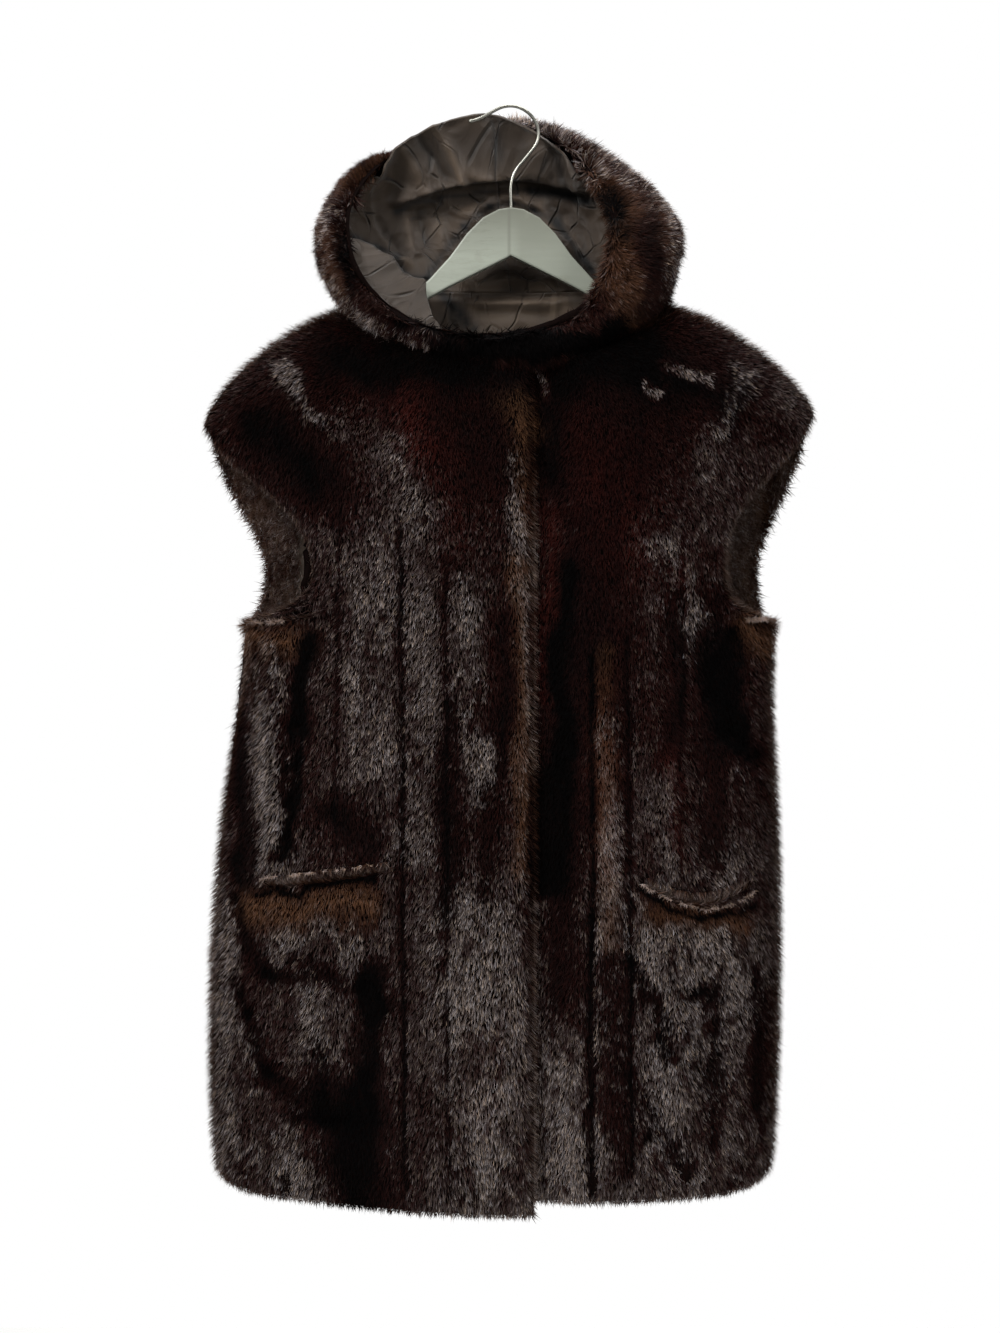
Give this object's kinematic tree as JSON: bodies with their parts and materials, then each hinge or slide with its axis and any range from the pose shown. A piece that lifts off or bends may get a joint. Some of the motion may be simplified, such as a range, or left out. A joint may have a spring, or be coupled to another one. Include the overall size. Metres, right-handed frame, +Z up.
{
  "type": "hooded fur vest on a hanger",
  "caption": "Hooded sleeveless fur vest with dropped shoulders, overlapped front, slit pockets and a cloth lining, hanging on a flat wooden hanger with a wire hook.",
  "frame": {"origin": "underside of the hanger hook at its top, where a rail or a wall hook carries it", "axes": "+Z up along the garment, -Y out of its front, +X towards the right of someone who looks at the front"},
  "size_m": [0.5802, 0.149, 1.0448],
  "materials": {
    "mink": "dark brown mink pile with grey sheen",
    "taffeta": "crinkled taupe taffeta",
    "pocketing": "plain brown pocket cloth",
    "painted_wood": "pale grey-green paint, worn",
    "steel": "bright wire"
  },
  "bodies": {
    "root": {"front_right": "mink", "front_left": "mink", "back": "mink", "hood_left": "mink", "hood_right": "mink", "lining_front_right": "taffeta", "lining_front_left": "taffeta", "lining_back": "taffeta", "hood_lining_left": "taffeta", "hood_lining_right": "taffeta", "pocket_bag_right": "pocketing", "pocket_bag_left": "pocketing", "hanger_board": "painted_wood", "hanger_hook": "steel"}
  },
  "joints": []
}
